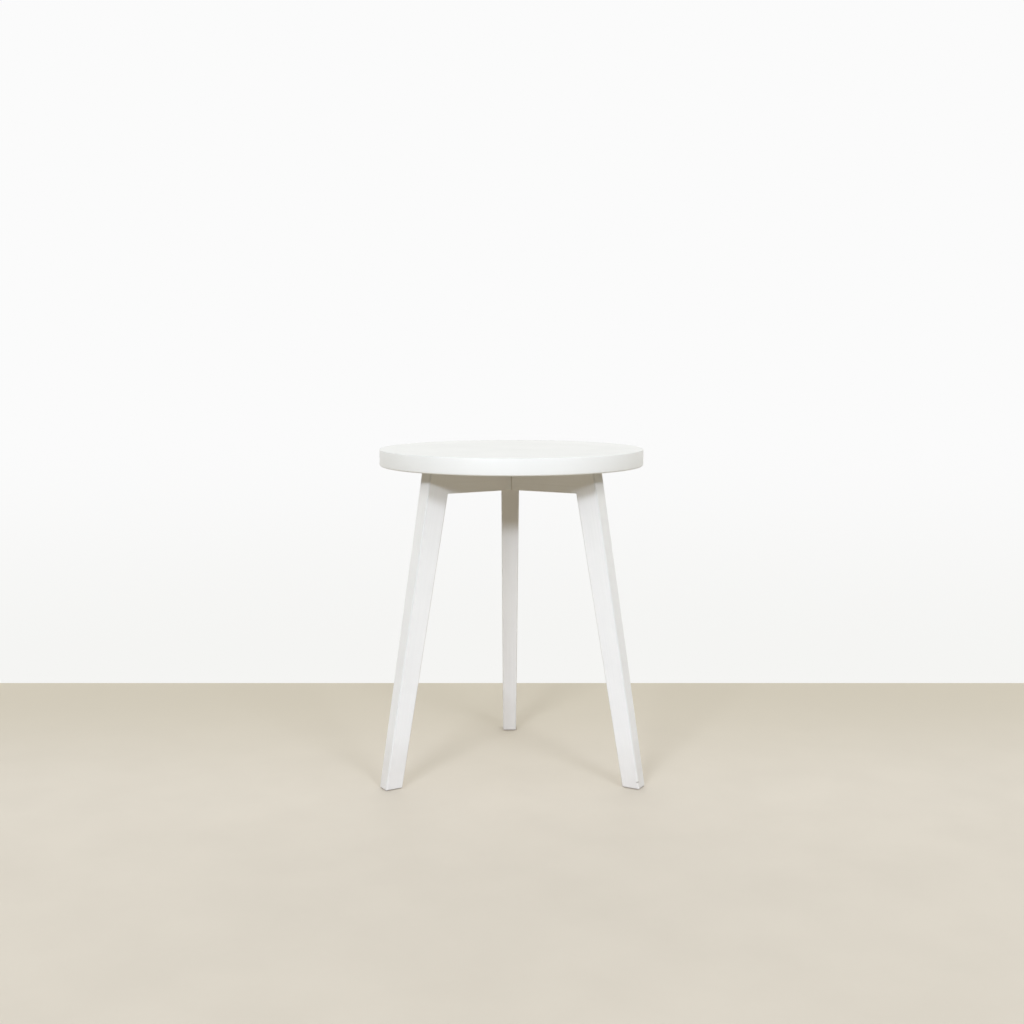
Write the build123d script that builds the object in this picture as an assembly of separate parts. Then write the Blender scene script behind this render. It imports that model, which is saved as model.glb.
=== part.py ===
from build123d import *
from math import radians, sin, tan
import os

# A round side table: a thick lacquered top on three splayed legs, tied by three rails that meet in a mitre.
# Millimetres, +Z up, rear leg toward +Y. The origin is on the floor at the centre of the bounding box.

# The whole table
table_height = 560.0
top_diameter = 450.0
top_thickness = 28.0
top_upper_arris = 1.0
top_lower_arris = 2.5

# Legs, counted round from the rear one: how far the outer face stands in from the top's edge under the top,
# how far it reaches past that edge at the floor, and the section at both ends
leg_names = ("rear", "front_left", "front_right")
rear_angle = 90.0
leg_inset = 62.0
foot_overhang = 25.0
leg_depth_top = 39.0
leg_depth_floor = 31.0
leg_width_top = 33.0
leg_width_floor = 25.0
leg_arris = 2.5
foot_chamfer = 1.0

# Rails under the top, from each leg to the middle
rail_height = 42.0
rail_width = 32.0
rail_arris = 1.5
mitre_arris = 0.9

# Two beech dowels in each leg joint
leg_dowel_diameter = 8.0
leg_dowel_length = 40.0
leg_dowel_height_shares = (0.28, 0.72)

# One thinner dowel across each mitre, each at its own height so that the three pass clear of one another
mitre_dowel_diameter = 6.0
mitre_dowel_length = 30.0
mitre_dowel_height_shares = (0.76, 0.24, 0.5)
dowel_clearance = 0.1
glue_room = 1.0

# Two screws up through each rail into the top, with their heads sunk in counterbores
screw_reach_shares = (0.34, 0.7)
screw_length = 40.0
screw_bite = 18.0
screw_diameter = 4.5
screw_head_diameter = 9.0
screw_head_height = 3.0
screw_hole_clearance = 0.25
thread_clearance = 0.05
counterbore_clearance = 0.75

# A moulded glide sunk into each foot, cast round a nail that starts a little above its lower face
glide_diameter = 16.0
glide_thickness = 2.5
glide_proud = 1.0
glide_clearance = 0.25
nail_diameter = 2.2
nail_length = 16.0
nail_cover = 1.0

# How far a cutting shape runs past the wood
overrun = 5.0

underside = table_height - top_thickness
rail_bottom = underside - rail_height
leg_reach_top = top_diameter / 2 - leg_inset
leg_reach_floor = top_diameter / 2 + foot_overhang
between_legs = 360.0 / len(leg_names)
half_mitre = between_legs / 2
leg_angles = {name: rear_angle + between_legs * place for place, name in enumerate(leg_names)}


def between(at_floor, at_top, height):
    """The value at a height of a measure that runs straight from the floor to the top's underside."""
    return at_floor + (at_top - at_floor) * height / underside


def outer_reach(height):
    return between(leg_reach_floor, leg_reach_top, height)


def inner_reach(height):
    return outer_reach(height) - between(leg_depth_floor, leg_depth_top, height)


def leg_half_width(height):
    return between(leg_width_floor, leg_width_top, height) / 2


# The foot reaches furthest where its chamfer starts, and in front nothing passes the top
foot_edge = glide_proud + foot_chamfer
centre_shift = (outer_reach(foot_edge) - top_diameter / 2) / 2
foot_middle = leg_reach_floor - leg_depth_floor / 2
mitre_middle = rail_width / 2 / sin(radians(half_mitre)) / 2
screw_seat = underside + screw_bite - screw_length
rail_length = inner_reach(rail_bottom)
screw_reaches = [share * rail_length for share in screw_reach_shares]
leg_dowel_heights = [rail_bottom + share * rail_height for share in leg_dowel_height_shares]


def make_leg():
    """A leg sawn to its side view, tapered to its front view, then eased on every arris but the rail's seat."""
    side_outline = [
        (outer_reach(glide_proud), glide_proud),
        (outer_reach(underside), underside),
        (inner_reach(underside), underside),
        (inner_reach(glide_proud), glide_proud),
    ]
    front_outline = [
        (-leg_half_width(glide_proud), glide_proud),
        (leg_half_width(glide_proud), glide_proud),
        (leg_half_width(underside), underside),
        (-leg_half_width(underside), underside),
    ]
    side_view = extrude(Plane.XZ * Polygon(*side_outline, align=None), leg_width_top, both=True)
    front_view = extrude(Plane.YZ * Polygon(*front_outline, align=None), leg_reach_floor)
    blank = side_view & front_view
    blank = chamfer(blank.edges().group_by(Axis.Z)[0], foot_chamfer)
    long_arrises = blank.edges().filter_by(lambda edge: edge.length > underside / 2)
    eased = fillet(long_arrises, leg_arris)
    seat = Box(leg_depth_top, leg_width_top, rail_height)
    leg = eased + (blank & Pos(inner_reach(underside), 0, underside - rail_height / 2) * seat)
    for hole in leg_dowel_holes():
        leg -= hole
    return leg - make_glide_pocket() - make_nail_hole()


def make_rail():
    """A rail with its outer end cut to the leg's slope and its inner end pointed, with eased shoulders, for the mitre."""
    side_outline = [
        (0, rail_bottom),
        (inner_reach(rail_bottom), rail_bottom),
        (inner_reach(underside), underside),
        (0, underside),
    ]
    side_view = extrude(Plane.XZ * Polygon(*side_outline, align=None), rail_width, both=True)
    shoulder = rail_width / 2 / tan(radians(half_mitre))
    eased = 1 - mitre_arris * sin(radians(half_mitre)) / (rail_width / 2)
    half_plan = [
        (eased * shoulder, eased * rail_width / 2),
        (shoulder + mitre_arris, rail_width / 2),
        (rail_length, rail_width / 2),
    ]
    plan_outline = [(0, 0)] + [(x, -y) for x, y in half_plan] + half_plan[::-1]
    plan = Pos(0, 0, rail_bottom) * extrude(Polygon(*plan_outline, align=None), rail_height)
    rail = side_view & plan
    rail = fillet(rail.edges().group_by(Axis.Z)[0].filter_by(Axis.X), rail_arris)
    for hole in leg_dowel_holes():
        rail -= hole
    for reach in screw_reaches:
        rail -= make_screw_hole(reach)
    return rail


def make_dowel(diameter, length):
    """A plain dowel along +X."""
    return Rot(0, 90, 0) * Cylinder(diameter / 2, length)


def make_dowel_hole(diameter, length):
    """The two blind holes that a dowel lies in, as one cutting shape."""
    return Rot(0, 90, 0) * Cylinder(diameter / 2 + dowel_clearance, length + 2 * glue_room)


def leg_dowel_holes():
    hole = make_dowel_hole(leg_dowel_diameter, leg_dowel_length)
    return [Pos(inner_reach(height), 0, height) * hole for height in leg_dowel_heights]


def leg_dowels():
    dowel = make_dowel(leg_dowel_diameter, leg_dowel_length)
    return [Pos(inner_reach(height), 0, height) * dowel for height in leg_dowel_heights]


def across_mitres(piece):
    """Copies of a piece made along +X, each set square across its own mitre at its own height."""
    copies = []
    for angle, share in zip(leg_angles.values(), mitre_dowel_height_shares):
        place = Rot(0, 0, angle + half_mitre) * Pos(mitre_middle, 0, rail_bottom + share * rail_height)
        copies.append(place * Rot(0, 0, 90) * piece)
    return copies


def make_screw():
    """A plain-shanked wood screw standing up from its flat head."""
    head = Pos(0, 0, -screw_head_height / 2) * Cylinder(screw_head_diameter / 2, screw_head_height)
    return head + Pos(0, 0, screw_length / 2) * Cylinder(screw_diameter / 2, screw_length)


def make_screw_hole(reach):
    """The counterbore up from the rail's lower face, and the clearance hole above it."""
    bore_radius = screw_head_diameter / 2 + counterbore_clearance
    bore_depth = screw_seat - rail_bottom + overrun
    bore = Pos(0, 0, -bore_depth / 2) * Cylinder(bore_radius, bore_depth)
    shank_hole = Cylinder(screw_diameter / 2 + screw_hole_clearance, 2 * screw_length)
    return Pos(reach, 0, screw_seat) * (bore + shank_hole)


def make_top():
    """The round top with its screw holes in the underside."""
    top = Pos(0, 0, underside + top_thickness / 2) * Cylinder(top_diameter / 2, top_thickness)
    top = chamfer(top.edges().group_by(Axis.Z)[-1], top_upper_arris)
    top = chamfer(top.edges().group_by(Axis.Z)[0], top_lower_arris)
    hole_depth = screw_bite + glue_room
    hole = Pos(0, 0, underside + hole_depth / 2) * Cylinder(screw_diameter / 2 + thread_clearance, hole_depth)
    for angle in leg_angles.values():
        for reach in screw_reaches:
            top -= Rot(0, 0, angle) * Pos(reach, 0, 0) * hole
    return top


def make_nail():
    """The glide's nail, moulded into the glide at its lower end and driven up into the foot."""
    return Pos(foot_middle, 0, nail_cover + nail_length / 2) * Cylinder(nail_diameter / 2, nail_length)


def make_nail_hole():
    length = nail_cover + nail_length + glue_room
    return Pos(foot_middle, 0, length / 2) * Cylinder(nail_diameter / 2 + dowel_clearance, length)


def make_glide_pocket():
    return Pos(foot_middle, 0, glide_thickness / 2) * Cylinder(glide_diameter / 2 + glide_clearance, glide_thickness)


def make_glide():
    """A moulded disc sunk into the foot, cast round its nail."""
    disc = Pos(foot_middle, 0, glide_thickness / 2) * Cylinder(glide_diameter / 2, glide_thickness)
    return disc - make_nail()


leg, rail, glide = make_leg(), make_rail(), make_glide()
mitre_hole = make_dowel_hole(mitre_dowel_diameter, mitre_dowel_length)
mitre_dowel = make_dowel(mitre_dowel_diameter, mitre_dowel_length)
screws = [Pos(reach, 0, screw_seat) * make_screw() for reach in screw_reaches]

nodes = {"table_top": make_top()}
groups = {"leg_dowels": [], "top_screws": [], "glide_nails": []}
for name, angle in leg_angles.items():
    turn = Rot(0, 0, angle)
    nodes["leg_" + name] = turn * leg
    nodes["rail_" + name] = turn * rail
    for hole in across_mitres(mitre_hole):
        nodes["rail_" + name] -= hole
    nodes["glide_" + name] = turn * glide
    groups["leg_dowels"] += [turn * dowel for dowel in leg_dowels()]
    groups["top_screws"] += [turn * screw for screw in screws]
    groups["glide_nails"].append(turn * make_nail())
groups["mitre_dowels"] = across_mitres(mitre_dowel)

for name, pieces in groups.items():
    nodes[name] = Compound([piece.solid() for piece in pieces])

os.makedirs("parts", exist_ok=True)
for name, shape in nodes.items():
    placed = Pos(0, -centre_shift, 0) * shape
    placed.label = name
    export_step(placed, f"parts/{name}.step")

print("nodes:", len(nodes), "table axis at y =", round(-centre_shift, 3))
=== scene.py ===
import bmesh
import bpy
import math
from mathutils import Matrix, Vector


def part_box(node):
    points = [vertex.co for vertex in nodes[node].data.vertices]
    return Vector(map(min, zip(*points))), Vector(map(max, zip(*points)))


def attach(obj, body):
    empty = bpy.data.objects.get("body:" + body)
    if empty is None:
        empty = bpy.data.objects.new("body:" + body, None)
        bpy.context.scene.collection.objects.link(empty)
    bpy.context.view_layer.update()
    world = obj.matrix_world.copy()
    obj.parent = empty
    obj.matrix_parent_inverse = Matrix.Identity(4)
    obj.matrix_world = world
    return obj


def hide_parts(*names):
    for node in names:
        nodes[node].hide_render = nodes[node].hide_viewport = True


# Round side table: a thick lacquered top on three splayed, tapered legs and three rails mitred at the middle.
# Metres, +Z up, rear leg toward +Y.

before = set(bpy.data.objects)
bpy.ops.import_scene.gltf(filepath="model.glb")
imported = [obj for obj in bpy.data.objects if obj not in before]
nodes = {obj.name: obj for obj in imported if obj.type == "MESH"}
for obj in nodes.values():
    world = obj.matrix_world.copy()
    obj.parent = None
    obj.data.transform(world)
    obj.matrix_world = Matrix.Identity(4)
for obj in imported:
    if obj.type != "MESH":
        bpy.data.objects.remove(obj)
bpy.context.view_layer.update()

millimetre = 0.001
mergeDistance = millimetre / 1000  # points closer than this are one point
sameLevel = millimetre / 10  # heights closer than this are one height
levelNormal = 0.9999  # a face whose normal is more upright than this is level
upward = Vector((0, 0, 1))
sideways = Vector((1, 0, 0))

topLow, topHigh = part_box("table_top")
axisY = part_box("rail_rear")[0].y  # the rails' points meet on the top's axis
tableAxis = Vector((0, axisY, 0))
legNames = ("rear", "front_left", "front_right")
rearAngle = 90
betweenLegs = 360 / len(legNames)
legAzimuths = {name: math.radians(rearAngle + betweenLegs * place) for place, name in enumerate(legNames)}
print("frame loaded:", len(nodes), "nodes")


def outward(name):
    azimuth = legAzimuths[name]
    return Vector((math.cos(azimuth), math.sin(azimuth), 0))


def joined(name):
    # front_left becomes FrontLeft
    return name.title().replace("_", "")


def boxRound(points):
    low = Vector([min(point[i] for point in points) for i in range(3)])
    high = Vector([max(point[i] for point in points) for i in range(3)])
    return low, high


def solidBoxes(nodeName):
    # the box of each separate solid in a group node, ordered by y and x to a hundredth of a millimetre
    bm = bmesh.new()
    bm.from_mesh(nodes[nodeName].data)
    bmesh.ops.remove_doubles(bm, verts=bm.verts, dist=mergeDistance)
    waiting = set(bm.verts)
    boxes = []
    while waiting:
        reached, front = [], [waiting.pop()]
        while front:
            vert = front.pop()
            reached.append(vert.co)
            near = {edge.other_vert(vert) for edge in vert.link_edges} & waiting
            waiting -= near
            front += near
        boxes.append(boxRound(reached))
    bm.free()
    return sorted(boxes, key=lambda box: (round(box[0].y, 5), round(box[0].x, 5)))


def addPiece(name, bm, slot, *stoodFor):
    mesh = bpy.data.meshes.new(name)
    bm.to_mesh(mesh)
    bm.free()
    piece = bpy.data.objects.new(name, mesh)
    bpy.context.scene.collection.objects.link(piece)
    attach(piece, "root")
    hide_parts(*stoodFor)
    return piece


def bevelEdges(bm, edges, width, steps):
    bmesh.ops.bevel(
        bm, geom=edges, offset=width, offset_type="OFFSET", segments=steps, profile=0.5, affect="EDGES", material=-1
    )


def cutOut(piece, cutterShape):
    # takes the closed cutter shape out of the piece, for good
    cutterMesh = bpy.data.meshes.new("cutter")
    cutterShape.to_mesh(cutterMesh)
    cutterShape.free()
    cutter = bpy.data.objects.new("cutter", cutterMesh)
    bpy.context.scene.collection.objects.link(cutter)
    cut = piece.modifiers.new("cut", "BOOLEAN")
    cut.operation = "DIFFERENCE"
    cut.solver = "EXACT"
    cut.object = cutter
    bpy.context.view_layer.update()
    done = bpy.data.meshes.new_from_object(piece.evaluated_get(bpy.context.evaluated_depsgraph_get()))
    piece.modifiers.clear()
    piece.data = done
    bpy.data.objects.remove(cutter)
    bpy.data.meshes.remove(cutterMesh)


# Table top: a turned disc with a crisp upper arris and a softer lower one

tableTopShape = {
    "sides": 256,
    "upperArris": 1.2 * millimetre,
    "lowerArris": 3.0 * millimetre,
    "arrisSteps": 5,
    "pilotHole": 4.6 * millimetre,
    "pilotSpare": 1.0 * millimetre,  # how much deeper than its screw
    "pilotSides": 24,
}


def makeDisc(shape, low, high, arrises):
    # a disc that fills the box from low to high, with its rims rounded; arrises are (height, radius, steps)
    middle = (low + high) / 2
    radius = max(high.x - low.x, high.y - low.y) / 2
    bm = bmesh.new()
    place = Matrix.Translation((middle.x, middle.y, low.z))
    bmesh.ops.create_circle(bm, cap_ends=True, segments=shape["sides"], radius=radius, matrix=place)
    grown = bmesh.ops.extrude_face_region(bm, geom=bm.faces[:])["geom"]
    raised = [item for item in grown if isinstance(item, bmesh.types.BMVert)]
    bmesh.ops.translate(bm, verts=raised, vec=(0, 0, high.z - low.z))
    bmesh.ops.recalc_face_normals(bm, faces=bm.faces)
    for height, arris, steps in arrises:
        rim = [edge for edge in bm.edges if all(abs(vert.co.z - height) < sameLevel for vert in edge.verts)]
        bevelEdges(bm, rim, arris, steps)
    for face in bm.faces:
        face.smooth = abs(face.normal.z) < levelNormal
    return bm


def makeTableTop():
    shape = tableTopShape
    reach = Vector((topHigh.x, topHigh.x, 0))
    low = tableAxis - reach + Vector((0, 0, topLow.z))
    high = tableAxis + reach + Vector((0, 0, topHigh.z))
    arrises = ((high.z, shape["upperArris"], shape["arrisSteps"]), (low.z, shape["lowerArris"], shape["arrisSteps"]))
    top = addPiece("tableTop", makeDisc(shape, low, high, arrises), "lacquered_top", "table_top")
    holes = bmesh.new()
    for screwLow, screwHigh in solidBoxes("top_screws"):
        depth = screwHigh.z - topLow.z + shape["pilotSpare"]
        middle = (screwLow + screwHigh) / 2
        bmesh.ops.create_cone(
            holes, cap_ends=True, segments=shape["pilotSides"], radius1=shape["pilotHole"] / 2,
            radius2=shape["pilotHole"] / 2, depth=2 * depth, matrix=Matrix.Translation((middle.x, middle.y, topLow.z))
        )
    cutOut(top, holes)
    return top


# Glides: moulded discs with a soft lower rim and the dimple of the mould's gate

glideShape = {
    "sides": 48,
    "rim": 0.6 * millimetre,
    "rimSteps": 4,
    "gate": 1.6 * millimetre,
    "gateDepth": 0.2 * millimetre,
    "gateWall": 1 / 3,  # of the gate's radius
}


def makeGlide(name):
    shape = glideShape
    low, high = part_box("glide_" + name)
    bm = makeDisc(shape, low, high, [(low.z, shape["rim"], shape["rimSteps"])])
    lowerFace = min(bm.faces, key=lambda face: face.calc_center_median().z)
    reach = (high.x - low.x) / 2 - shape["rim"] - shape["gate"]
    bmesh.ops.inset_region(bm, faces=[lowerFace], thickness=reach)
    bmesh.ops.inset_region(
        bm, faces=[lowerFace], thickness=shape["gate"] * shape["gateWall"], depth=-shape["gateDepth"]
    )
    return addPiece("glide" + joined(name), bm, "nylon_glide", "glide_" + name)


# Screws: domed heads with a cross recess, and a cut thread where they bite into the top

screwShape = {
    "sides": 32,
    "core": 3.6 * millimetre,
    "thread": 4.5 * millimetre,
    "threadRoot": 0.9,  # of the core's radius, so that the ridge starts a little inside it
    "threadHalfWidth": 0.3,  # of the pitch
    "pitch": 2.0 * millimetre,
    "threadLength": 17.0 * millimetre,
    "turnSteps": 18,
    "head": 3.0 * millimetre,
    "dome": 1.0 * millimetre,
    "domeLine": ((0.0, 0.0), (0.55, 0.15), (0.85, 0.55), (1.0, 1.4)),  # in shares of the head's radius and the dome
    "seatArris": 0.3 * millimetre,
    "tip": 5.0 * millimetre,
    "recess": (5.0 * millimetre, 1.1 * millimetre, 1.8 * millimetre),  # length, width and depth
}


def addThread(bm, middle, core, start):
    # a three-sided ridge wound round the core
    shape = screwShape
    root, halfWidth = core * shape["threadRoot"], shape["threadHalfWidth"] * shape["pitch"]
    ridge = []
    for reach, height in ((root, start - halfWidth), (shape["thread"] / 2, start), (root, start + halfWidth)):
        ridge.append(bm.verts.new((middle.x + reach, middle.y, height)))
    turns = shape["threadLength"] / shape["pitch"]
    steps = round(turns * shape["turnSteps"])
    bmesh.ops.spin(
        bm, geom=[bm.faces.new(ridge)], axis=(0, 0, 1), cent=(middle.x, middle.y, 0), angle=turns * math.tau,
        steps=steps, dvec=(0, 0, shape["threadLength"] / steps)
    )


def makeScrews():
    shape = screwShape
    boxes = solidBoxes("top_screws")
    core, arris = shape["core"] / 2, shape["seatArris"]
    turned, recesses = bmesh.new(), bmesh.new()
    for low, high in boxes:
        middle = (low + high) / 2
        head = (high.x - low.x) / 2
        seat = low.z + shape["head"]
        outline = [(head * out, low.z + shape["dome"] * up) for out, up in shape["domeLine"]]
        outline += [
            (head, seat - arris), (head - arris, seat), (core, seat), (core, high.z - shape["tip"]), (0, high.z)
        ]
        verts = [turned.verts.new((middle.x + reach, middle.y, height)) for reach, height in outline]
        edges = [turned.edges.new(pair) for pair in zip(verts, verts[1:])]
        bmesh.ops.spin(
            turned, geom=verts + edges, axis=(0, 0, 1), cent=(middle.x, middle.y, 0), angle=math.tau,
            steps=shape["sides"], use_merge=True
        )
        for turn in (0, math.pi / 2):
            length, width, depth = shape["recess"]
            place = Matrix.Translation((middle.x, middle.y, low.z)) @ Matrix.Rotation(turn, 4, "Z")
            bmesh.ops.create_cube(recesses, size=1, matrix=place @ Matrix.Diagonal((length, width, 2 * depth, 1)))
    bmesh.ops.remove_doubles(turned, verts=turned.verts, dist=mergeDistance)
    bmesh.ops.recalc_face_normals(turned, faces=turned.faces)
    for face in turned.faces:
        face.smooth = True
    screws = addPiece("topScrews", turned, "zinc_screw", "top_screws")
    cutOut(screws, recesses)
    threads = bmesh.new()
    for low, high in boxes:
        addThread(threads, (low + high) / 2, core, high.z - shape["tip"] - shape["threadLength"])
    bmesh.ops.recalc_face_normals(threads, faces=threads.faces)
    threads.from_mesh(screws.data)
    threads.to_mesh(screws.data)
    threads.free()
    return screws


# Colours and nodes

def hexColour(text):
    # the linear colour of an sRGB hex value
    channels = [int(text[at:at + 2], 16) / 255 for at in (1, 3, 5)]
    return [c / 12.92 if c <= 0.04045 else ((c + 0.055) / 1.055) ** 2.4 for c in channels] + [1.0]


def newMaterial(name):
    material = bpy.data.materials.new(name)
    material.use_nodes = True
    material.node_tree.nodes.clear()
    return material, material.node_tree


def addNode(tree, kind, settings=None, inputs=None):
    node = tree.nodes.new(kind)
    for key, value in (settings or {}).items():
        setattr(node, key, value)
    for key, value in (inputs or {}).items():
        if isinstance(value, bpy.types.NodeSocket):
            tree.links.new(value, node.inputs[key])
        else:
            node.inputs[key].default_value = value
    return node


# Each material measures its pattern in millimetres, on the piece's own axes

upright = (tableAxis, upward, sideways)


def pieceTurn(along, up):
    # the turn that takes Z to the piece's length and X towards its upper or outer side
    zAxis = along.normalized()
    yAxis = zAxis.cross(up).normalized()
    return Matrix((yAxis.cross(zAxis), yAxis, zAxis)).transposed().to_euler()


def alongPiece(tree, start, along, up):
    # object coordinates turned so that Z runs along the piece from its start, in millimetres
    place = addNode(tree, "ShaderNodeTexCoord")
    return addNode(tree, "ShaderNodeMapping", {"vector_type": "TEXTURE"}, {
        "Vector": place.outputs["Object"], "Location": start, "Rotation": pieceTurn(along, up),
        "Scale": (millimetre,) * 3
    }).outputs["Vector"]


def finishMaterial(tree, settings, bumps):
    # bumps are (height socket, real relief in millimetres), the first one lowest
    normal = {}
    for height, relief in bumps:
        bump = addNode(tree, "ShaderNodeBump", None, {"Height": height, "Distance": relief * millimetre, **normal})
        normal = {"Normal": bump.outputs["Normal"]}
    shader = addNode(tree, "ShaderNodeBsdfPrincipled", None, {**settings, **normal})
    addNode(tree, "ShaderNodeOutputMaterial", None, {"Surface": shader.outputs["BSDF"]})
    return shader


# The noise values between which a second colour grows from none to all, and roughness from its least to its most
cloudRange = (0.35, 0.65)
sheenRange = (0.3, 0.7)

# White pigmented lacquer sprayed over planed beech. It hides the colour of the wood, but the grain swells under it
# and shows as faint streaks along each piece, with a soft sheen over a slight orange peel. Shoes and brooms leave
# the feet a little grey and one foot has a small scuff on its edge. Painted shade makes the legs' two outer arrises a
# shade greyer, and the fine grey line along the mitres is the joint, darkened with painted shade.
beechLacquerLook = {
    "whiteHex": "#F1F1EF",
    "streakHex": "#E9E9E7",
    "shadeHex": "#EEEEEC",
    "arrisShadeHex": "#DEDEDC",
    "handledHex": "#DCD9D3",
    "scuffHex": "#A39E96",
    "mitreJointShadeHex": "#DBD8D2",
    "roughness": (0.5, 0.6),
    "ior": 1.5,
    "streakWidth": 2.2,  # drawn two or three times as wide as real beech grain, to show at all
    "streakLength": 130.0,
    "streakRange": (0.42, 0.72),
    "streakShare": 0.55,
    "streakRelief": 0.012,
    "cloudSize": 60.0,
    "peelSize": 2.5,
    "peelRelief": 0.006,
    "legHalfDepth": (15.3, 0.0073),  # at the foot, and how much it grows with each millimetre up the leg
    "legHalfWidth": (12.5, 0.0074),
    "arrisShadeReach": (1.4, 2.1),
    "footReach": (0.0, 120.0),
    "scuffedLeg": "front_right",
    "scuffMiddle": (15.0, -12.5, 9.5),
    "scuffReach": (4.5, 4.5, 1.7),
    "scuffGrain": 1.25,
    "scuffFade": (0.9, 1.5),  # in shares of its reach, with the grain's value added to make it ragged
    "scuffShare": 0.9,
    "mitreJointShadeReach": (0.8, 1.0),
}


def makeBeechLacquer(name, start, along, up):
    # streaks, soft clouds and orange peel; hands back the shader, the place in the wood and the clouds as well
    look = beechLacquerLook
    material, tree = newMaterial(name)
    place = alongPiece(tree, start, along, up)
    drawn = addNode(tree, "ShaderNodeMapping", None, {
        "Vector": place, "Scale": (1 / look["streakWidth"], 1 / look["streakWidth"], 1 / look["streakLength"])
    })
    streaks = addNode(tree, "ShaderNodeTexNoise", None, {
        "Vector": drawn.outputs[0], "Scale": 1.0, "Detail": 3.0, "Roughness": 0.6
    })
    clouds = addNode(tree, "ShaderNodeTexNoise", None, {"Vector": place, "Scale": 1 / look["cloudSize"], "Detail": 2.0})
    peel = addNode(tree, "ShaderNodeTexNoise", None, {"Vector": place, "Scale": 1 / look["peelSize"], "Detail": 1.0})
    streakShare = addNode(tree, "ShaderNodeMapRange", None, {
        "Value": streaks.outputs["Fac"], "From Min": look["streakRange"][0], "From Max": look["streakRange"][1],
        "To Max": look["streakShare"]
    })
    cloudShare = addNode(tree, "ShaderNodeMapRange", None, {
        "Value": clouds.outputs["Fac"], "From Min": cloudRange[0], "From Max": cloudRange[1]
    })
    shaded = addNode(tree, "ShaderNodeMix", {"data_type": "RGBA"}, {
        "Factor": cloudShare.outputs[0], "A": hexColour(look["whiteHex"]), "B": hexColour(look["shadeHex"])
    })
    colour = addNode(tree, "ShaderNodeMix", {"data_type": "RGBA"}, {
        "Factor": streakShare.outputs[0], "A": shaded.outputs["Result"], "B": hexColour(look["streakHex"])
    })
    sheen = addNode(tree, "ShaderNodeMapRange", None, {
        "Value": clouds.outputs["Fac"], "From Min": sheenRange[0], "From Max": sheenRange[1],
        "To Min": look["roughness"][0], "To Max": look["roughness"][1]
    })
    shader = finishMaterial(
        tree, {"Base Color": colour.outputs["Result"], "Roughness": sheen.outputs[0], "IOR": look["ior"]},
        [(streaks.outputs["Fac"], look["streakRelief"]), (peel.outputs["Fac"], look["peelRelief"])]
    )
    return material, shader, place, clouds


def tintLacquer(tree, shader, share, hexText):
    # lays one more colour over what the lacquer has so far
    lacquered = shader.inputs["Base Color"].links[0].from_socket
    colour = addNode(tree, "ShaderNodeMix", {"data_type": "RGBA"}, {
        "Factor": share.outputs[0], "A": lacquered, "B": hexColour(hexText)
    })
    tree.links.new(colour.outputs["Result"], shader.inputs["Base Color"])


def paintedArrisShade(tree, shader, place):
    # painted shade: a shade greyer where the surface is near both the outer face and a side
    look = beechLacquerLook
    parts = addNode(tree, "ShaderNodeSeparateXYZ", None, {"Vector": place})
    aside = addNode(tree, "ShaderNodeMath", {"operation": "ABSOLUTE"}, {0: parts.outputs["Y"]})
    depths = []
    for reach, (atFoot, taper) in (
        (parts.outputs["X"], look["legHalfDepth"]), (aside.outputs[0], look["legHalfWidth"])
    ):
        face = addNode(tree, "ShaderNodeMath", {"operation": "MULTIPLY_ADD"}, {
            0: parts.outputs["Z"], 1: taper, 2: atFoot
        })
        depths.append(addNode(tree, "ShaderNodeMath", {"operation": "SUBTRACT"}, {0: face.outputs[0], 1: reach}))
    depth = addNode(tree, "ShaderNodeMath", {"operation": "MAXIMUM"}, {
        0: depths[0].outputs[0], 1: depths[1].outputs[0]
    })
    share = addNode(tree, "ShaderNodeMapRange", None, {
        "Value": depth.outputs[0], "From Min": look["arrisShadeReach"][0], "From Max": look["arrisShadeReach"][1],
        "To Min": 1.0, "To Max": 0.0
    })
    tintLacquer(tree, shader, share, look["arrisShadeHex"])


def wearFoot(name, tree, shader, place, clouds):
    # greys the lacquer towards the floor, and scuffs one leg's edge
    look = beechLacquerLook
    height = addNode(tree, "ShaderNodeSeparateXYZ", None, {"Vector": place})
    nearFloor = addNode(tree, "ShaderNodeMapRange", {"interpolation_type": "SMOOTHSTEP"}, {
        "Value": height.outputs["Z"], "From Min": look["footReach"][0], "From Max": look["footReach"][1],
        "To Min": 1.0, "To Max": 0.0
    })
    share = addNode(tree, "ShaderNodeMath", {"operation": "MULTIPLY"}, {
        0: nearFloor.outputs[0], 1: clouds.outputs["Fac"]
    })
    tintLacquer(tree, shader, share, look["handledHex"])
    if name == look["scuffedLeg"]:
        fromMiddle = addNode(tree, "ShaderNodeMapping", {"vector_type": "TEXTURE"}, {
            "Vector": place, "Location": look["scuffMiddle"], "Scale": look["scuffReach"]
        })
        distance = addNode(tree, "ShaderNodeVectorMath", {"operation": "LENGTH"}, {0: fromMiddle.outputs[0]})
        grain = addNode(tree, "ShaderNodeTexNoise", None, {
            "Vector": place, "Scale": 1 / look["scuffGrain"], "Detail": 2.0
        })
        edge = addNode(tree, "ShaderNodeMath", {"operation": "ADD"}, {
            0: distance.outputs["Value"], 1: grain.outputs["Fac"]
        })
        share = addNode(tree, "ShaderNodeMapRange", None, {
            "Value": edge.outputs[0], "From Min": look["scuffFade"][0], "From Max": look["scuffFade"][1],
            "To Min": look["scuffShare"], "To Max": 0.0
        })
        tintLacquer(tree, shader, share, look["scuffHex"])


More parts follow.
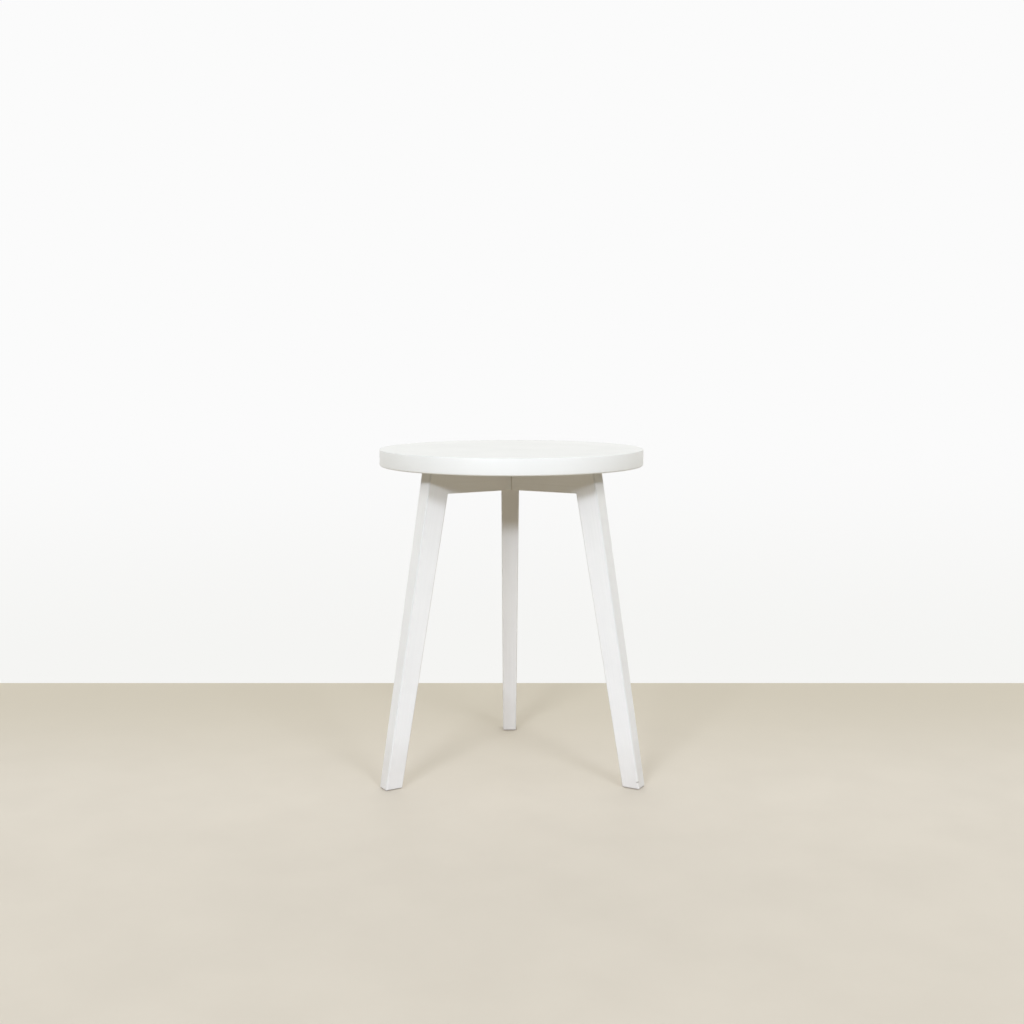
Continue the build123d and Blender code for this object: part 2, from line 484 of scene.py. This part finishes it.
def mitreJointAndShade(tree, shader, place):
    # a fine grey line along the two planes in which a rail's point meets its neighbours: the joint, darkened with
    # painted shade
    look = beechLacquerLook
    halfMitre = math.radians(betweenLegs / 2)
    parts = addNode(tree, "ShaderNodeSeparateXYZ", None, {"Vector": place})
    aside = addNode(tree, "ShaderNodeMath", {"operation": "ABSOLUTE"}, {0: parts.outputs["Y"]})
    lengthwise = addNode(tree, "ShaderNodeMath", {"operation": "MULTIPLY"}, {
        0: parts.outputs["Z"], 1: math.sin(halfMitre)
    })
    crosswise = addNode(tree, "ShaderNodeMath", {"operation": "MULTIPLY"}, {
        0: aside.outputs[0], 1: math.cos(halfMitre)
    })
    away = addNode(tree, "ShaderNodeMath", {"operation": "SUBTRACT"}, {
        0: lengthwise.outputs[0], 1: crosswise.outputs[0]
    })
    share = addNode(tree, "ShaderNodeMapRange", None, {
        "Value": away.outputs[0], "From Min": look["mitreJointShadeReach"][0], "From Max": look["mitreJointShadeReach"][1],
        "To Min": 1.0, "To Max": 0.0
    })
    tintLacquer(tree, shader, share, look["mitreJointShadeHex"])


# White pigmented lacquer sprayed on the turned fibreboard disc. No grain shows through: the eye sees an even white
# with a soft sheen, a trace of orange peel, and on the upper face the fine marks that wiping leaves.
topLacquerLook = {
    "whiteHex": "#EDEDEA",
    "shadeHex": "#EAEAE7",
    "wipedHex": "#E1E1DE",
    "roughness": (0.36, 0.44),
    "ior": 1.5,
    "peelSize": 2.5,
    "peelRelief": 0.006,
    "cloudSize": 110.0,
    "wipeWidth": 0.9,  # about twice as wide as real ones, to show at all
    "wipeLength": 80.0,
    "wipeTurns": (24, 71, 118, 160),
    "wipeRange": (0.66, 0.76),
    "wipeHeight": (-0.6, -0.2),  # from the upper face, so that the marks end on its arris
}


def makeTopLacquer():
    look = topLacquerLook
    material, tree = newMaterial("lacqueredFibreboard")
    place = alongPiece(tree, tableAxis + Vector((0, 0, topHigh.z)), upward, sideways)
    clouds = addNode(tree, "ShaderNodeTexNoise", None, {"Vector": place, "Scale": 1 / look["cloudSize"], "Detail": 3.0})
    peel = addNode(tree, "ShaderNodeTexNoise", None, {"Vector": place, "Scale": 1 / look["peelSize"], "Detail": 1.0})
    cloudShare = addNode(tree, "ShaderNodeMapRange", None, {
        "Value": clouds.outputs["Fac"], "From Min": cloudRange[0], "From Max": cloudRange[1]
    })
    shaded = addNode(tree, "ShaderNodeMix", {"data_type": "RGBA"}, {
        "Factor": cloudShare.outputs[0], "A": hexColour(look["whiteHex"]), "B": hexColour(look["shadeHex"])
    })
    height = addNode(tree, "ShaderNodeSeparateXYZ", None, {"Vector": place})
    onFace = addNode(tree, "ShaderNodeMapRange", None, {
        "Value": height.outputs["Z"], "From Min": look["wipeHeight"][0], "From Max": look["wipeHeight"][1]
    })
    marks = 0.0
    for turn in look["wipeTurns"]:
        drawn = addNode(tree, "ShaderNodeMapping", None, {
            "Vector": place, "Rotation": (0, 0, math.radians(turn)),
            "Scale": (1 / look["wipeLength"], 1 / look["wipeWidth"], 1)
        })
        lines = addNode(tree, "ShaderNodeTexNoise", None, {"Vector": drawn.outputs[0], "Scale": 1.0, "Detail": 1.0})
        mark = addNode(tree, "ShaderNodeMapRange", None, {
            "Value": lines.outputs["Fac"], "From Min": look["wipeRange"][0], "From Max": look["wipeRange"][1]
        })
        marks = addNode(tree, "ShaderNodeMath", {"operation": "MAXIMUM"}, {0: mark.outputs[0], 1: marks}).outputs[0]
    share = addNode(tree, "ShaderNodeMath", {"operation": "MULTIPLY"}, {0: marks, 1: onFace.outputs[0]})
    colour = addNode(tree, "ShaderNodeMix", {"data_type": "RGBA"}, {
        "Factor": share.outputs[0], "A": shaded.outputs["Result"], "B": hexColour(look["wipedHex"])
    })
    sheen = addNode(tree, "ShaderNodeMapRange", None, {
        "Value": clouds.outputs["Fac"], "From Min": sheenRange[0], "From Max": sheenRange[1],
        "To Min": look["roughness"][0], "To Max": look["roughness"][1]
    })
    finishMaterial(
        tree, {"Base Color": colour.outputs["Result"], "Roughness": sheen.outputs[0], "IOR": look["ior"]},
        [(peel.outputs["Fac"], look["peelRelief"])]
    )
    return material


# Moulded nylon in its natural ivory: waxy, and rubbed dull and grey where it slides on the floor
nylonLook = {
    "baseHex": "#DCD8CC", "patchHex": "#BDB7A9", "patch": (1.2, 9.0, 3.0), "share": (0.48, 0.68),
    "roughness": (0.38, 0.58), "relief": 0.03, "shader": {"IOR": 1.53},
}

# Bright zinc plate on cold-headed steel: a cool silver with a faint straw mottle from the passivating bath
zincLook = {
    "baseHex": "#C8CCD0", "patchHex": "#C6BF9F", "patch": (2.5, 2.5, 2.5), "share": (0.45, 0.75),
    "roughness": (0.24, 0.36), "relief": 0.004, "shader": {"Metallic": 1.0},
}

# Turned beech, left bare for the glue: pale pinkish brown with short dark ray flecks
beechLook = {
    "baseHex": "#D9B58D", "patchHex": "#B4875C", "patch": (1.6, 1.6, 0.5), "share": (0.52, 0.68),
    "roughness": (0.6, 0.7), "relief": 0.03, "shader": {"IOR": 1.5},
}

# Plain drawn steel wire: dull grey, with the die's fine lines along it
steelLook = {
    "baseHex": "#A3A19C", "patchHex": "#7E7B74", "patch": (0.25, 0.25, 8.0), "share": (0.4, 0.65),
    "roughness": (0.3, 0.45), "relief": 0.006, "shader": {"Metallic": 1.0},
}


def makeMottled(name, look):
    # a finish of two colours in soft patches or drawn-out flecks, with its sheen and relief following them
    material, tree = newMaterial(name)
    drawn = addNode(tree, "ShaderNodeMapping", None, {
        "Vector": alongPiece(tree, *upright), "Scale": tuple(1 / size for size in look["patch"])
    })
    patches = addNode(tree, "ShaderNodeTexNoise", None, {"Vector": drawn.outputs[0], "Scale": 1.0, "Detail": 3.0})
    share = addNode(tree, "ShaderNodeMapRange", None, {
        "Value": patches.outputs["Fac"], "From Min": look["share"][0], "From Max": look["share"][1]
    })
    colour = addNode(tree, "ShaderNodeMix", {"data_type": "RGBA"}, {
        "Factor": share.outputs[0], "A": hexColour(look["baseHex"]), "B": hexColour(look["patchHex"])
    })
    sheen = addNode(tree, "ShaderNodeMapRange", None, {
        "Value": share.outputs[0], "To Min": look["roughness"][0], "To Max": look["roughness"][1]
    })
    finishMaterial(
        tree, {"Base Color": colour.outputs["Result"], "Roughness": sheen.outputs[0], **look["shader"]},
        [(patches.outputs["Fac"], look["relief"])]
    )
    return material


# Camera: the photograph's viewing angle, from a little left of the middle, just above the top

cameraLook = {
    "right": -0.0351,
    "back": 2.2479,
    "up": 0.7166,
    "turn": -0.921,
    "down": 6.76,
    "lens": 46.2,
    "sensor": 36,
}


def makeCamera():
    look = cameraLook
    camera = bpy.data.cameras.new("viewer")
    camera.lens = look["lens"]
    camera.sensor_width = look["sensor"]
    holder = bpy.data.objects.new("viewer", camera)
    bpy.context.scene.collection.objects.link(holder)
    holder.location = tableAxis + Vector((look["right"], -look["back"], look["up"]))
    holder.rotation_euler = (math.radians(90 - look["down"]), 0, math.radians(look["turn"]))
    bpy.context.scene.camera = holder


# Stage: a plain pale floor, cut straight a little behind the table and square to the camera

stageLook = {
    "floorReach": 6.0,
    "floorSides": 180,
    "floorBehind": 0.589,
}

# Painted screed, rolled on in one pale warm coat: flat, with slow cloudy patches, and painted shade that makes it
# darker towards its straight edge. Less of it is thrown back up at the table than the camera sees, and least from
# close by, so the rails stay in shade.
floorLook = {
    "paleHex": "#DBD3C6",
    "patchHex": "#D8D0C3",
    "nearBounceHex": "#8E7859",
    "farBounceHex": "#C4BEAA",
    "bounceReach": (600.0, 1400.0),
    "edgeShadeHex": "#CAC1AF",
    "edgeShadeReach": (-240.0, 560.0),
    "patchSize": 140.0,
    "roughness": 0.7,
}


def makeFloor():
    look = stageLook
    bm = bmesh.new()
    bmesh.ops.create_circle(bm, cap_ends=True, segments=look["floorSides"], radius=look["floorReach"])
    bmesh.ops.bisect_plane(
        bm, geom=bm.verts[:] + bm.edges[:] + bm.faces[:], plane_co=(0, look["floorBehind"], 0), plane_no=(0, 1, 0),
        clear_outer=True
    )
    squareOn = Matrix.Rotation(math.radians(cameraLook["turn"]), 3, "Z")
    bmesh.ops.rotate(bm, cent=(0, 0, 0), matrix=squareOn, verts=bm.verts)
    bmesh.ops.translate(bm, vec=tableAxis, verts=bm.verts)
    mesh = bpy.data.meshes.new("floor")
    bm.to_mesh(mesh)
    bm.free()
    floor = bpy.data.objects.new("floor", mesh)
    bpy.context.scene.collection.objects.link(floor)
    mesh.materials.append(makeScreed())


def isSeen(tree):
    # 1 where the floor or the surround is seen, directly, in a gloss or through glass, and 0 where it only lends light
    path = addNode(tree, "ShaderNodeLightPath")
    direct = addNode(tree, "ShaderNodeMath", {"operation": "MAXIMUM"}, {
        0: path.outputs["Is Camera Ray"], 1: path.outputs["Is Glossy Ray"]
    })
    return addNode(tree, "ShaderNodeMath", {"operation": "MAXIMUM"}, {
        0: direct.outputs[0], 1: path.outputs["Is Transmission Ray"]
    }).outputs[0]


def makeScreed():
    look = floorLook
    material, tree = newMaterial("paintedScreed")
    place = alongPiece(tree, *upright)
    clouds = addNode(tree, "ShaderNodeTexNoise", None, {"Vector": place, "Scale": 1 / look["patchSize"], "Detail": 4.0})
    share = addNode(tree, "ShaderNodeMapRange", None, {
        "Value": clouds.outputs["Fac"], "From Min": cloudRange[0], "From Max": cloudRange[1]
    })
    painted = addNode(tree, "ShaderNodeMix", {"data_type": "RGBA"}, {
        "Factor": share.outputs[0], "A": hexColour(look["paleHex"]), "B": hexColour(look["patchHex"])
    })
    parts = addNode(tree, "ShaderNodeSeparateXYZ", None, {"Vector": place})
    # painted shade: the floor goes darker towards its straight edge
    edge = addNode(tree, "ShaderNodeMapRange", {"interpolation_type": "SMOOTHSTEP"}, {
        "Value": parts.outputs["Y"], "From Min": look["edgeShadeReach"][0], "From Max": look["edgeShadeReach"][1]
    })
    shaded = addNode(tree, "ShaderNodeMix", {"data_type": "RGBA"}, {
        "Factor": edge.outputs[0], "A": painted.outputs["Result"], "B": hexColour(look["edgeShadeHex"])
    })
    distance = addNode(tree, "ShaderNodeVectorMath", {"operation": "LENGTH"}, {0: place})
    far = addNode(tree, "ShaderNodeMapRange", None, {
        "Value": distance.outputs["Value"], "From Min": look["bounceReach"][0], "From Max": look["bounceReach"][1]
    })
    bounce = addNode(tree, "ShaderNodeMix", {"data_type": "RGBA"}, {
        "Factor": far.outputs[0], "A": hexColour(look["nearBounceHex"]), "B": hexColour(look["farBounceHex"])
    })
    colour = addNode(tree, "ShaderNodeMix", {"data_type": "RGBA"}, {
        "Factor": isSeen(tree), "A": bounce.outputs["Result"], "B": shaded.outputs["Result"]
    })
    finishMaterial(tree, {"Base Color": colour.outputs["Result"], "Roughness": look["roughness"]}, [])
    return material


# Surround: seen directly it is white, with painted shade a trace greyer towards the floor. The light that it lends is
# set apart: a soft ring all round, which leaves no shadow of its own, a little from above it, and a broad return from
# behind the table.
# The bands are in degrees above the floor, and behindFrom is in degrees round from the side to the back.
surroundLook = {
    "highHex": "#FBFBFB",
    "lowShadeHex": "#F5F5F3",
    "fade": (-13.0, -3.0),
    "ringHex": "#FFFEF8",
    "ringStrength": 1.85,
    "ringFrom": (19.5, 20.5),
    "ringTo": (35.5, 36.5),
    "aboveStrength": 0.34,
    "behindStrength": 1.65,
    "behindFrom": (20.0, 40.0),
    "behindLow": (-2.0, 2.0),
    "behindHigh": (48.0, 52.0),
}


def makeSurround():
    look = surroundLook
    world = bpy.data.worlds.new("surround")
    bpy.context.scene.world = world
    world.use_nodes = True
    tree = world.node_tree
    tree.nodes.clear()
    angles = ("fade", "ringFrom", "ringTo", "behindFrom", "behindLow", "behindHigh")
    rise = {key: [math.sin(math.radians(angle)) for angle in look[key]] for key in angles}
    direction = addNode(tree, "ShaderNodeTexCoord")
    parts = addNode(tree, "ShaderNodeSeparateXYZ", None, {"Vector": direction.outputs["Generated"]})
    above = addNode(tree, "ShaderNodeMapRange", None, {
        "Value": parts.outputs["Z"], "From Min": rise["ringFrom"][0], "From Max": rise["ringFrom"][1],
        "To Max": look["ringStrength"]
    })
    ring = addNode(tree, "ShaderNodeMapRange", None, {
        "Value": parts.outputs["Z"], "From Min": rise["ringTo"][0], "From Max": rise["ringTo"][1],
        "To Min": above.outputs[0], "To Max": look["aboveStrength"]
    })
    back = addNode(tree, "ShaderNodeMapRange", {"interpolation_type": "SMOOTHSTEP"}, {
        "Value": parts.outputs["Y"], "From Min": rise["behindFrom"][0], "From Max": rise["behindFrom"][1],
        "To Max": look["behindStrength"]
    })
    low = addNode(tree, "ShaderNodeMapRange", None, {
        "Value": parts.outputs["Z"], "From Min": rise["behindLow"][0], "From Max": rise["behindLow"][1],
        "To Max": back.outputs[0]
    })
    behind = addNode(tree, "ShaderNodeMapRange", None, {
        "Value": parts.outputs["Z"], "From Min": rise["behindHigh"][0], "From Max": rise["behindHigh"][1],
        "To Min": low.outputs[0], "To Max": 0.0
    })
    strength = addNode(tree, "ShaderNodeMath", {"operation": "MAXIMUM"}, {0: ring.outputs[0], 1: behind.outputs[0]})
    light = addNode(tree, "ShaderNodeBackground", None, {
        "Color": hexColour(look["ringHex"]), "Strength": strength.outputs[0]
    })
    # painted shade: the seen white goes a trace greyer towards the floor
    height = addNode(tree, "ShaderNodeMapRange", {"interpolation_type": "SMOOTHSTEP"}, {
        "Value": parts.outputs["Z"], "From Min": rise["fade"][0], "From Max": rise["fade"][1]
    })
    white = addNode(tree, "ShaderNodeMix", {"data_type": "RGBA"}, {
        "Factor": height.outputs[0], "A": hexColour(look["lowShadeHex"]), "B": hexColour(look["highHex"])
    })
    seen = addNode(tree, "ShaderNodeBackground", None, {"Color": white.outputs["Result"], "Strength": 1.0})
    mix = addNode(tree, "ShaderNodeMixShader", None, {
        0: isSeen(tree), 1: light.outputs[0], 2: seen.outputs[0]
    })
    addNode(tree, "ShaderNodeOutputWorld", None, {"Surface": mix.outputs[0]})


# Lamps: two wide, low windows far out in front, left and right, each a row of soft discs, in degrees; azimuth 270 is
# the viewer's side. Their light is even over the whole floor. Its shadows are soft sideways and crisper in height.
lampLook = {
    "windows": {
        "left": {"azimuth": 248, "elevation": 20.0, "strength": 1.53},
        "right": {"azimuth": 299, "elevation": 21.0, "strength": 1.0},
    },
    "row": (-6.0, -2.0, 2.0, 6.0),
    "disc": 5.0,
    "hex": "#E9F0FE",  # a trace cooler than the floor's warm return
}


def makeLamps():
    row = lampLook["row"]
    for name, look in lampLook["windows"].items():
        for place, aside in enumerate(row):
            lamp = bpy.data.lights.new(f"{name}Window{place}", "SUN")
            lamp.angle = math.radians(lampLook["disc"])
            lamp.energy = look["strength"] / len(row)
            lamp.color = hexColour(lampLook["hex"])[:3]
            holder = bpy.data.objects.new(lamp.name, lamp)
            bpy.context.scene.collection.objects.link(holder)
            azimuth, elevation = math.radians(look["azimuth"] + aside), math.radians(look["elevation"])
            level = math.cos(elevation)
            toLamp = Vector((math.cos(azimuth) * level, math.sin(azimuth) * level, math.sin(elevation)))
            holder.rotation_euler = (-toLamp).to_track_quat("-Z", "Y").to_euler()


# Assembly

def dress(piece, material):
    # the piece's only finish
    if piece.material_slots:
        for slot in piece.material_slots:
            slot.material = material
    else:
        piece.data.materials.append(material)


def legLine(nodeName):
    # the middles of the leg's section at its foot and at its top
    ends = []
    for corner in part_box(nodeName):
        level = [vert.co for vert in nodes[nodeName].data.vertices if abs(vert.co.z - corner.z) < sameLevel]
        low, high = boxRound(level)
        ends.append((low + high) / 2)
    return ends


dress(makeTableTop(), makeTopLacquer())
print("top turned and lacquered")

nylon = makeMottled("mouldedNylon", nylonLook)
for name in legNames:
    dress(makeGlide(name), nylon)
dress(makeScrews(), makeMottled("brightZinc", zincLook))
print("glides and screws made")

for name in legNames:
    foot, head = legLine("leg_" + name)
    lacquer, shader, place, clouds = makeBeechLacquer(
        "lacqueredBeechLeg" + joined(name), foot, head - foot, outward(name)
    )
    paintedArrisShade(lacquer.node_tree, shader, place)
    wearFoot(name, lacquer.node_tree, shader, place, clouds)
    dress(nodes["leg_" + name], lacquer)
    start = tableAxis + Vector((0, 0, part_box("rail_" + name)[0].z))
    lacquer, shader, place, clouds = makeBeechLacquer(
        "lacqueredBeechRail" + joined(name), start, outward(name), upward
    )
    mitreJointAndShade(lacquer.node_tree, shader, place)
    dress(nodes["rail_" + name], lacquer)
print("legs and rails lacquered")

beech = makeMottled("bareBeech", beechLook)
dress(nodes["leg_dowels"], beech)
dress(nodes["mitre_dowels"], beech)
dress(nodes["glide_nails"], makeMottled("drawnSteel", steelLook))
print("dowels and nails finished")

makeFloor()
makeSurround()
makeLamps()
makeCamera()
bpy.context.scene.view_settings.view_transform = "Standard"
print("stage, lamps and camera set")
